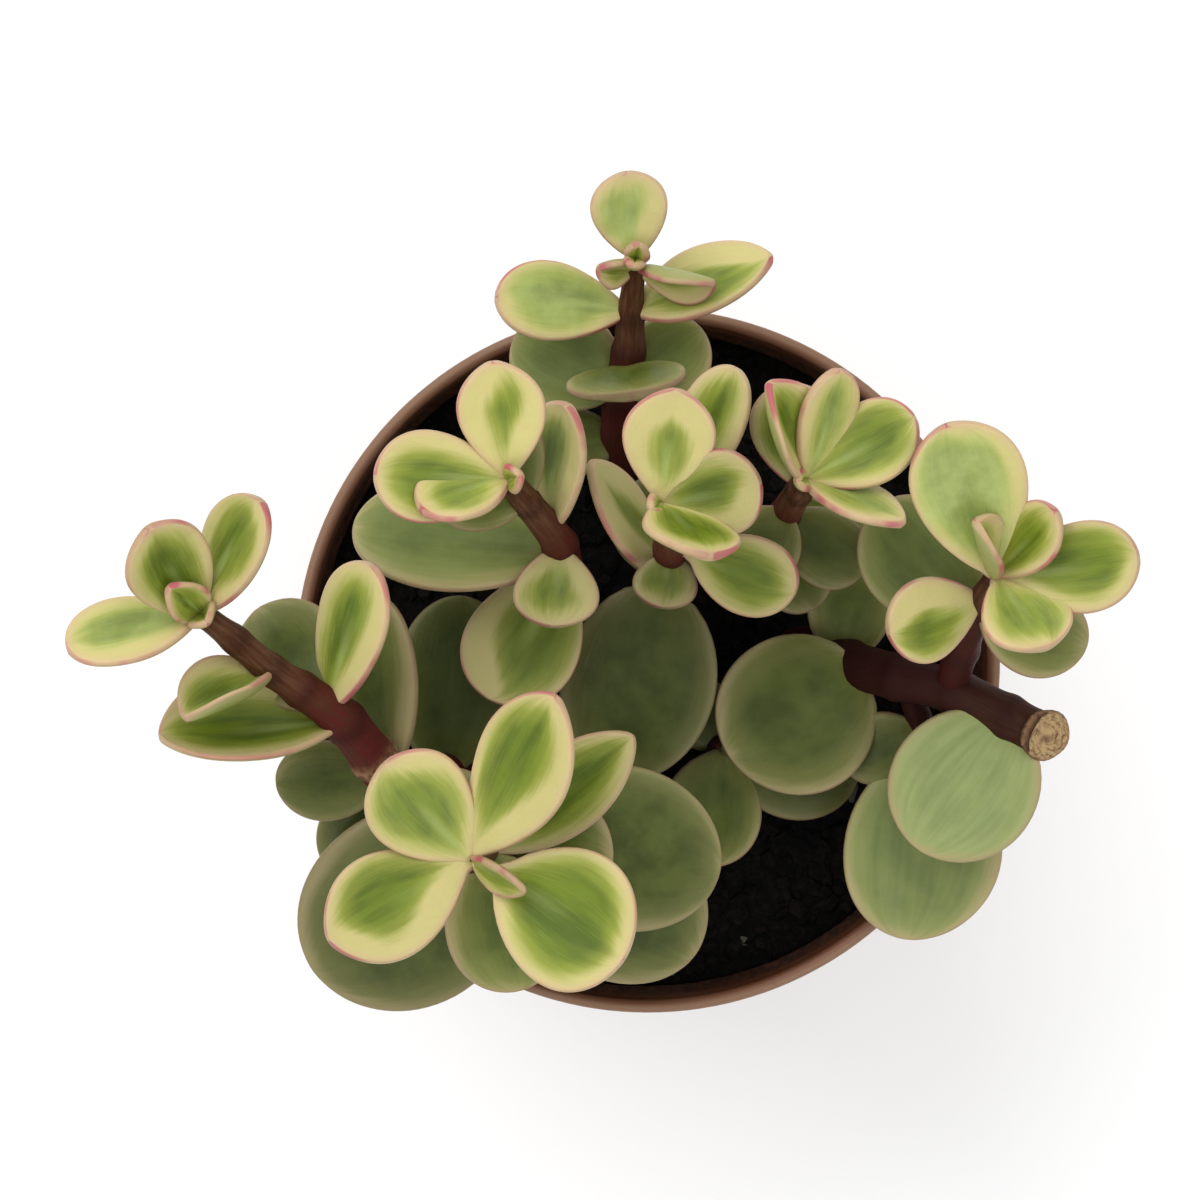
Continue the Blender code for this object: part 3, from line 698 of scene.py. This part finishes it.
def half_widths(shares, leaf, kind):
    """Half the blade's width, in metres, at shares of its length."""
    widest = kind.base / (kind.base + kind.tip)
    most = widest**kind.base * (1 - widest) ** kind.tip
    blade = np.maximum(0, (shares - kind.stalk) / (1 - kind.stalk))
    width = leaf.width * MM / 2 * blade**kind.base * (1 - blade) ** kind.tip / most
    return np.maximum(width, PETIOLE_HALF_WIDTH * (1 - shares))


def blade_axes(leaf):
    """The blade's own directions: along it, to its left and up from its face."""
    bearing = math.radians(leaf.bearing)
    rise = math.radians(leaf.rise)
    along = Vector(
        (math.cos(bearing) * math.cos(rise), math.sin(bearing) * math.cos(rise), math.sin(rise))
    )
    level_left = Vector((-math.sin(bearing), math.cos(bearing), 0))
    left = Matrix.Rotation(math.radians(leaf.roll), 3, along) @ level_left
    return np.array(along), np.array(left), np.array(along.cross(left))


def edge_distance(along, across, outline):
    """The distance in millimetres of each blade point from the blade's outline, laid flat."""
    points = np.stack([along.ravel(), across.ravel()], axis=1)
    gaps = np.linalg.norm(points[:, None, :] - outline[None, :, :], axis=2).min(axis=1)
    return gaps / MM


def leaf_surface(start, leaf, kind, shares, across, over, rng):
    """The points of a fleshy blade with blunt edges, a faint channel, soft waves and a bend."""
    along, left, up = blade_axes(leaf)
    length = leaf.length * MM
    wide = half_widths(shares, leaf, kind)
    waves = [rng.uniform(0, math.tau) for _ in range(4)]
    wave_height = rng.uniform(*WAVE_HEIGHTS) * MM * min(1.0, leaf.width / FULL_WAVE_WIDTH)
    sway = rng.uniform(-SWAY, SWAY) * length
    thick = kind.thick * MM / 2 * rng.uniform(1 - THICKNESS_SPREAD, 1 + THICKNESS_SPREAD)
    thick = np.minimum(thick * np.minimum(1, 0.6 + 2 * shares) * (1 - 0.3 * shares**3), 0.8 * wide)
    u = shares[:, None]
    x = across[None, :]
    w = wide[:, None]
    slope = 2 * kind.cup * x
    tilt = np.sqrt(1 + slope**2)
    offset = thick[:, None] * over[None, :]
    swell = np.sin(math.pi * u)
    wave = np.sin(u * 7 + waves[0]) * np.clip(x, 0, 1) ** 2
    wave = wave + np.sin(u * 6 + waves[1]) * np.clip(-x, 0, 1) ** 2
    channel = -CHANNEL_DEPTH * np.exp(-((x / CHANNEL_WIDTH) ** 2)) * swell * (over[None, :] > 0)
    side = w * x - offset * slope / tilt + sway * swell
    lift = kind.cup * w * x**2 + offset / tilt + wave_height * wave * swell + channel
    bend = math.radians(kind.bend) * u
    middle = np.array(start) + length * u * (along * np.cos(bend / 2) + up * np.sin(bend / 2))
    upward = up * np.cos(bend) - along * np.sin(bend)
    points = middle[:, None, :] + side[:, :, None] * left + lift[:, :, None] * upward[:, None, :]
    tip_bend = math.radians(kind.bend)
    tip = np.array(start) + length * (along * math.cos(tip_bend / 2) + up * math.sin(tip_bend / 2))
    return np.concatenate([points.reshape(-1, 3), np.array(start)[None], tip[None]])


def leaf_outline(leaf, kind):
    """The blade's outline laid flat, in metres, as points close together."""
    fine = np.linspace(0, 1, OUTLINE_POINTS)
    fine = 1 - (1 - fine) ** 2
    rim = half_widths(np.minimum(fine, 0.99999), leaf, kind)
    length = fine * leaf.length * MM
    return np.concatenate([np.stack([length, rim], 1), np.stack([length, -rim], 1)])


def add_leaf(shell, start, leaf, rng):
    """One leaf, with the values that its material reads at each point."""
    kind = KINDS[leaf.kind]
    steps = np.linspace(0, 1, BLADE_STEPS + 1)[:-1]
    shares = 1 - (1 - steps) ** 2
    turn = np.linspace(0, math.tau, BLADE_ROUND, endpoint=False)
    across = np.sign(np.cos(turn)) * np.abs(np.cos(turn)) ** EDGE_POWER
    over = np.sign(np.sin(turn)) * np.abs(np.sin(turn)) ** EDGE_POWER
    points = leaf_surface(start, leaf, kind, shares, across, over, rng)
    rings = len(shares)
    faces = tube_faces(rings, BLADE_ROUND, rings * BLADE_ROUND, rings * BLADE_ROUND + 1)
    u = shares[:, None] + 0 * across[None, :]
    x = across[None, :] + 0 * shares[:, None]
    wide = half_widths(shares, leaf, kind)[:, None]
    inward = edge_distance(u * leaf.length * MM, wide * x, leaf_outline(leaf, kind))
    # The last two values of each are those of the base and the tip
    along_values = np.concatenate([u.ravel(), [0, 1]])
    across_values = np.concatenate([x.ravel(), [0, 0]])
    inward_values = np.concatenate([inward, [PETIOLE_HALF_WIDTH / MM, 0]])
    blade = np.stack([along_values, across_values, inward_values], axis=1)
    margins = margin_widths(leaf, kind, along_values, across_values, rng)
    age = np.full(len(points), np.clip(kind.age + rng.uniform(*AGE_SPREAD), 0, 1))
    coat = np.stack([np.full(len(points), rng.random()), age, margins], axis=1)
    under = np.concatenate([((over < 0)[None, :] + 0 * u).ravel(), [0, 0]])
    tone = np.full(len(points), leaf.tone + rng.uniform(-TONE_SPREAD, TONE_SPREAD))
    shell.add(points, faces, blade=blade, coat=coat, side=np.stack([under, tone, 0 * tone], axis=1))


def margin_widths(leaf, kind, along, across, rng):
    """The pale margin's width in millimetres at each point: its own on each side, and uneven."""
    sides = []
    for given in (leaf.left, leaf.right):
        usual = kind.cream * rng.uniform(*MARGIN_SPREAD) * min(1.2, leaf.width / 10)
        width = usual if given is None else given
        phase = rng.uniform(0, math.tau)
        sides.append(width * (1 + MARGIN_WAVE * np.sin(along * 5 + phase)))
    blend = np.clip(0.5 + 1.6 * across, 0, 1)
    return sides[0] * blend + sides[1] * (1 - blend)


def stem_samples(route, rooted):
    """Points, radii and places along a stem, close enough together for its nodes."""
    samples = []
    last = len(route) - 1
    length = sum((Vector(b[:3]) - Vector(a[:3])).length for a, b in zip(route, route[1:])) * MM
    count = max(8, int(length / STEM_STEP))
    if rooted:
        foot, radius = route_at(route, 0)
        collar = foot.copy()
        foot.z = SOIL_TOP - STEM_SINK
        for share in np.linspace(0, 0.96, FOOT_RINGS):
            samples.append((foot.lerp(collar, share), radius, 0.0))
    for step in range(count + 1):
        place = last * step / count
        point, radius = route_at(route, place)
        samples.append((point, radius, place))
    return samples


def near(distance, reach):
    """1 at no distance, falling smoothly to nothing past the reach."""
    return math.exp(-((distance / reach) ** 2))


def stem_swelling(route, point, place, collars, cut):
    """How far the stem swells here, and how much of a node ring and of callus it is."""
    last_place = len(route) - 1
    node = round(place)
    from_node = (point - route_at(route, node)[0]).length if 0 < node <= last_place else 1.0
    ring = near(from_node, NODE_LENGTH)
    swell = 1 + NODE_SWELL * ring
    callus = 0.0
    for collar in collars:
        distance = (point - route_at(route, collar)[0]).length
        callus = max(callus, near(distance, CALLUS_LENGTH))
        swell += COLLAR_SWELL * near(distance, COLLAR_LENGTH)
    if cut:
        near_end = near(last_place - place, CUT_LIP_REACH)
        swell += CUT_LIP_SWELL * near_end
        callus = max(callus, CUT_CALLUS * near_end)
    return swell, ring, callus


def cut_face(points, bark, turns, ends, forward):
    """Rings that go in over the cut face, from a rounded lip to a slightly sunk centre."""
    end = points[-1].mean(axis=0)
    normal = np.array((forward + Vector((0, 0, CUT_SLANT))).normalized())
    edge_ring = points[-1] - end
    for inset, ahead_mm in CUT_STEPS:
        points.append(end + edge_ring * inset + normal * ahead_mm * MM)
        bark.append(bark[-1])
        turns.append(turns[-1] * np.array([inset, inset, 1]))
        ends.append(np.tile([1.0 if inset < 0.9 else 0.5, 0.8, 1.0], (STEM_SIDES, 1)))
    return end + normal * CUT_HOLLOW * MM


def close_rows(rows, foot, tip):
    """The values of all rings, with those of the foot and the tip after them."""
    return np.concatenate([*rows, [foot], [tip]])


def add_stem(shell, name, route, rooted, rng):
    """A round stem with swollen nodes, and where it was pruned a cut end with a callus lip."""
    samples = stem_samples(route, rooted)
    cut = rooted and name in CUT_ENDS
    collars = COLLARS.get(name, ()) if rooted else ()
    shade_below, fade = SHADED_STEMS.get(name, SHADE_BASE)
    last_place = len(route) - 1
    turn = np.linspace(0, math.tau, STEM_SIDES, endpoint=False)
    points, bark, turns, ends = [], [], [], []
    side = Vector((1, 0.2, 0)).normalized()
    travelled = 0.0
    phase = rng.uniform(0, math.tau)
    for index, (point, radius, place) in enumerate(samples):
        behind = samples[max(index - 1, 0)][0]
        ahead = samples[min(index + 1, len(samples) - 1)][0]
        forward = (ahead - behind).normalized()
        side = (side - forward * side.dot(forward)).normalized()
        other = forward.cross(side)
        travelled += (point - behind).length / MM
        swell, ring, callus = stem_swelling(route, point, place, collars, cut)
        if not cut and index == len(samples) - 1:
            swell *= TIP_SHRINK
        bumps = 1 + COARSE_BUMPS * np.sin(2 * turn + phase + travelled * 0.25)
        bumps = bumps + FINE_BUMPS * np.sin(5 * turn - travelled * 0.4)
        rim = radius * swell * bumps
        spokes = (rim * np.cos(turn))[:, None] * np.array(side)
        spokes = spokes + (rim * np.sin(turn))[:, None] * np.array(other)
        ring_points = np.array(point)[None] + spokes
        if cut:
            # The cut slants, so that its face looks up: the upper side of the stem is shorter
            slant = CUT_SLANT * max(0.0, 1 - (last_place - place) / CUT_REACH) ** 2
            ring_points = ring_points - (spokes[:, 2:] + radius) * slant * np.array(forward)
        # high fades out the painted shade: 0 low on the stem, 1 higher up
        high = min(1.0, max(0.0, (point.z / MM - SOIL_TOP / MM - shade_below) / fade))
        points.append(ring_points)
        bark.append(np.tile([travelled, place / last_place, ring], (STEM_SIDES, 1)))
        turns.append(np.stack([rim * np.cos(turn) / MM, rim * np.sin(turn) / MM, 0 * turn], 1))
        ends.append(np.tile([0.0, callus, high], (STEM_SIDES, 1)))
    tip = np.array(point + forward * radius * 0.5)
    if cut:
        tip = cut_face(points, bark, turns, ends, forward)
    rings = len(points)
    points = close_rows(points, np.array(samples[0][0]), tip)
    bark = close_rows(bark, (0, 0, 0), (travelled, 1, 0))
    turns = close_rows(turns, (0, 0, 0), (0, 0, 0))
    ends = close_rows(ends, (0, 0, 0), (1.0 if cut else 0.0, 0, 1))
    faces = tube_faces(rings, STEM_SIDES, rings * STEM_SIDES, rings * STEM_SIDES + 1)
    shell.add(points, faces, bark=bark, turn=turns, ends=ends)


def make_shoot(name, rng, leaf_look, stem_look):
    """A shoot's leaves and its stem with any side shoots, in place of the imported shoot."""
    leaves = Shell()
    stems = Shell()
    branches = [(ROUTES[name], LEAVES[name], True)]
    branches += [(route, side_leaves, False) for route, side_leaves in SIDE_SHOOTS.get(name, [])]
    for route, branch_leaves, rooted in branches:
        add_stem(stems, name, route, rooted, rng)
        for leaf in branch_leaves:
            add_leaf(leaves, route_at(route, leaf.place)[0], leaf, rng)
    for piece in (
        leaves.build(name + "_leaves", leaf_look),
        stems.build(name + "_stem", stem_look),
    ):
        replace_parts(piece, name)


# Pot and soil


def outer_radius(z):
    """The outer radius of the pot's tapered wall, below its band."""
    top_radius = RIM_RADIUS - BAND_STEP
    return BASE_RADIUS + (top_radius - BASE_RADIUS) * z / (POT_HEIGHT - BAND_HEIGHT)


def corner_arc(centre_r, centre_z, radius, start, end, steps=8):
    """Points of an arc in the section, between two angles in degrees."""
    angles = np.radians(np.linspace(start, end, steps + 1))
    return [(centre_r + radius * math.cos(a), centre_z + radius * math.sin(a)) for a in angles]


def pot_profile():
    """The section of the pot: its rim, outer side and underside, then its floor and inner side."""
    band_bottom = POT_HEIGHT - BAND_HEIGHT
    band_radius = RIM_RADIUS - LIP
    half_lip = (WALL + LIP) / 2
    rim = corner_arc(RIM_RADIUS - half_lip, POT_HEIGHT - half_lip, half_lip, 180, 0, 14)
    band = [(band_radius, POT_HEIGHT - 2.2 * half_lip)]
    band += corner_arc(band_radius - BAND_ROUND, band_bottom + BAND_STEP, BAND_ROUND, 0, -80)
    wall = [(outer_radius(z), z) for z in np.linspace(band_bottom, EDGE_ROUND, 24)]
    foot = corner_arc(BASE_RADIUS - EDGE_ROUND, EDGE_ROUND, EDGE_ROUND, 0, -90)
    bottom = [(radius, 0) for radius in np.linspace(BASE_RADIUS - 2 * EDGE_ROUND, CENTRE_RING, 5)]
    floor = [(radius, FLOOR) for radius in np.linspace(CENTRE_RING, BASE_RADIUS - WALL - EDGE_ROUND, 5)]
    inside = [(outer_radius(z) - WALL, z) for z in np.linspace(FLOOR + EDGE_ROUND, band_bottom, 16)]
    ledge = [(band_radius - WALL, z) for z in (band_bottom + BAND_STEP, POT_HEIGHT - 2 * half_lip)]
    return rim + band + wall + foot + bottom, floor + inside + ledge


def make_pot(material):
    """The pot, turned from its section, with its drain holes."""
    outer, inner = pot_profile()
    turn = np.linspace(0, math.tau, POT_STEPS, endpoint=False)
    bm = bmesh.new()
    rings = []
    for radius, z in outer + inner:
        rings.append([bm.verts.new((radius * math.cos(a), radius * math.sin(a), z)) for a in turn])
    under_centre = bm.verts.new((0, 0, 0))
    floor_centre = bm.verts.new((0, 0, FLOOR))
    for index, ring in enumerate(rings):
        following = rings[(index + 1) % len(rings)]
        for i in range(POT_STEPS):
            j = (i + 1) % POT_STEPS
            if index == len(outer) - 1:
                bm.faces.new((ring[j], ring[i], under_centre))
                bm.faces.new((following[i], following[j], floor_centre))
            else:
                bm.faces.new((ring[j], ring[i], following[i], following[j]))
    bmesh.ops.recalc_face_normals(bm, faces=bm.faces)
    mesh = bpy.data.meshes.new("pot_moulded")
    bm.to_mesh(mesh)
    bm.free()
    mesh.materials.append(material)
    pot = bpy.data.objects.new("pot_moulded", mesh)
    bpy.context.scene.collection.objects.link(pot)
    drill_drain_holes(pot)
    pot.data.shade_smooth()
    pot.data.set_sharp_from_angle(angle=math.radians(POT_CREASE))
    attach(pot, "root")
    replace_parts(pot, "pot")


def drill_drain_holes(pot):
    """A ring of drain holes through the pot's floor."""
    bm = bmesh.new()
    for number in range(DRAIN_HOLES):
        angle = math.tau * (number + 0.5) / DRAIN_HOLES
        made = bmesh.ops.create_cone(
            bm, cap_ends=True, segments=40, radius1=DRAIN_RADIUS, radius2=DRAIN_RADIUS, depth=4 * FLOOR
        )
        move = (DRAIN_CIRCLE * math.cos(angle), DRAIN_CIRCLE * math.sin(angle), 0)
        bmesh.ops.translate(bm, verts=made["verts"], vec=move)
    mesh = bpy.data.meshes.new("drain_cutters")
    bm.to_mesh(mesh)
    bm.free()
    cutter = bpy.data.objects.new("drain_cutters", mesh)
    bpy.context.scene.collection.objects.link(cutter)
    modifier = pot.modifiers.new("drain", "BOOLEAN")
    modifier.operation = "DIFFERENCE"
    modifier.object = cutter
    bpy.context.view_layer.update()
    graph = bpy.context.evaluated_depsgraph_get()
    drilled = bpy.data.meshes.new_from_object(pot.evaluated_get(graph))
    pot.modifiers.clear()
    pot.data = drilled
    bpy.data.objects.remove(cutter)


def soil_height(x, y):
    """The height of the soil's surface: lumps with finer crumbs."""
    place = Vector((x, y, 0)) / MM
    lumps = noise.fractal(place * 0.09, 0.9, 2.0, 3)
    crumbs = noise.fractal(place * 0.55 + Vector((9, 3, 1)), 0.8, 2.0, 3)
    return SOIL_TOP + SOIL_RELIEF * (0.55 * lumps + 0.35 * crumbs)


def soil_radius(z):
    """The radius of the plug of soil at a height, a little inside the pot."""
    return min(outer_radius(z) - WALL, RIM_RADIUS - LIP - WALL) - SOIL_GAP


def make_soil(material):
    """The plug of potting mix, with a fine uneven top."""
    shell = Shell()
    turn = np.linspace(0, math.tau, SOIL_STEPS, endpoint=False)
    rings = []
    for z in (FLOOR + SOIL_LIFT, *SOIL_LEVELS, SOIL_TOP - 2 * MM):
        radius = soil_radius(z)
        rings.append([(radius * math.cos(a), radius * math.sin(a), z) for a in turn])
    for step in range(SOIL_RINGS):
        radius = soil_radius(SOIL_TOP) * (1 - step / SOIL_RINGS)
        xy = [(radius * math.cos(a), radius * math.sin(a)) for a in turn]
        rings.append([(x, y, soil_height(x, y)) for x, y in xy])
    poles = [(0, 0, FLOOR + SOIL_LIFT), (0, 0, soil_height(0, 0))]
    points = np.array([point for ring in rings for point in ring] + poles)
    count = len(rings)
    faces = tube_faces(count, SOIL_STEPS, count * SOIL_STEPS, count * SOIL_STEPS + 1)
    shell.add(points, faces, tone=np.zeros((len(points), 3)))
    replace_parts(shell.build("soil_plug", material), "soil")


def make_crumbs(material):
    """Loose grains of bark, peat and a little perlite, half sunk in the soil's top."""
    rng = random.Random(CRUMB_SEED)
    bm = bmesh.new()
    bmesh.ops.create_icosphere(bm, subdivisions=1, radius=1)
    ball = np.array([v.co for v in bm.verts])
    ball_faces = [[v.index for v in face.verts] for face in bm.faces]
    bm.free()
    shell = Shell()
    reach = soil_radius(SOIL_TOP) - 1.0 * MM
    for _ in range(CRUMBS):
        radius = reach * math.sqrt(rng.random())
        angle = rng.uniform(0, math.tau)
        x, y = radius * math.cos(angle), radius * math.sin(angle)
        size = rng.uniform(*CRUMB_SIZES) ** CRUMB_SIZE_POWER * MM
        scale = np.array([rng.uniform(*limits) for limits in CRUMB_STRETCH])
        jitter = np.array([[rng.uniform(*CRUMB_JITTER)] for _ in ball])
        spin = Matrix.Rotation(rng.uniform(0, math.tau), 3, "Z")
        spin = spin @ Matrix.Rotation(rng.uniform(-CRUMB_TILT, CRUMB_TILT), 3, "X")
        shape = (ball * jitter * scale * size) @ np.array(spin).T
        centre = np.array([x, y, soil_height(x, y) + 0.1 * size])
        tone = PALE_TONE if rng.random() < PALE_CRUMB_SHARE else rng.random() ** 2
        shell.add(shape + centre, ball_faces, tone=np.full((len(ball), 3), tone))
    piece = shell.build("soil_crumbs", material)
    piece.data.shade_flat()


# Light, floor and camera

FLOOR_HALF = 6.0
FLOOR_GREY = (0.86, 0.86, 0.86)
WORLD_STRENGTH = 0.55

# Large lights in a ring round the plant: each one's bearing in degrees and power in watts
LIGHTS = {"key": (125, 11), "back": (35, 4.5), "left": (215, 4.5), "fill": (305, 4.5)}
LIGHT_RING = 0.85
LIGHT_HEIGHT = 0.95
LIGHT_SIZE = 1.1
LIT_POINT = (0, 0, 0.1)


def area_light(name, bearing, power):
    """A large square light on the ring, turned to the plant."""
    angle = math.radians(bearing)
    place = (LIGHT_RING * math.cos(angle), LIGHT_RING * math.sin(angle), LIGHT_HEIGHT)
    light = bpy.data.lights.new(name, "AREA")
    light.size = LIGHT_SIZE
    light.energy = power
    lamp = bpy.data.objects.new(name, light)
    lamp.location = place
    lamp.rotation_euler = (Vector(LIT_POINT) - Vector(place)).to_track_quat("-Z", "Y").to_euler()
    bpy.context.scene.collection.objects.link(lamp)


def make_stage():
    """A plain pale floor, a white world and the lights."""
    mesh = bpy.data.meshes.new("floor")
    corners = [(FLOOR_HALF * x, FLOOR_HALF * y, 0) for x, y in ((-1, -1), (1, -1), (1, 1), (-1, 1))]
    mesh.from_pydata(corners, [], [(0, 1, 2, 3)])
    g = Graph("floor", Roughness=0.9)
    mesh.materials.append(g.finish(FLOOR_GREY))
    floor = bpy.data.objects.new("floor", mesh)
    bpy.context.scene.collection.objects.link(floor)
    world = bpy.data.worlds.new("studio")
    bpy.context.scene.world = world
    world.use_nodes = True
    background = world.node_tree.nodes["Background"]
    background.inputs["Color"].default_value = (1.0, 1.0, 1.0, 1)
    background.inputs["Strength"].default_value = WORLD_STRENGTH
    for name, (bearing, power) in LIGHTS.items():
        area_light(name, bearing, power)
    bpy.context.scene.view_settings.view_transform = "Standard"


def make_camera():
    """The photograph's view, with its width at the rim's height."""
    width_at_rim = PHOTO_PIXELS * RIM_MM_PER_PIXEL * MM
    data = bpy.data.cameras.new("camera")
    data.sensor_width = SENSOR
    data.lens = SENSOR * CAMERA_ABOVE_RIM / width_at_rim
    data.clip_start = 0.01
    camera = bpy.data.objects.new("camera", data)
    camera.location = (CAMERA_X, CAMERA_Y, POT_HEIGHT + CAMERA_ABOVE_RIM)
    bpy.context.scene.collection.objects.link(camera)
    bpy.context.scene.camera = camera


def main():
    make_camera()
    make_stage()
    leaf_look = leaf_material()
    stem_look = stem_material()
    for number, name in enumerate(ROUTES):
        make_shoot(name, random.Random(SHOOT_SEED + number), leaf_look, stem_look)
    make_pot(pot_material())
    soil_look = soil_material()
    make_soil(soil_look)
    make_crumbs(soil_look)


main()
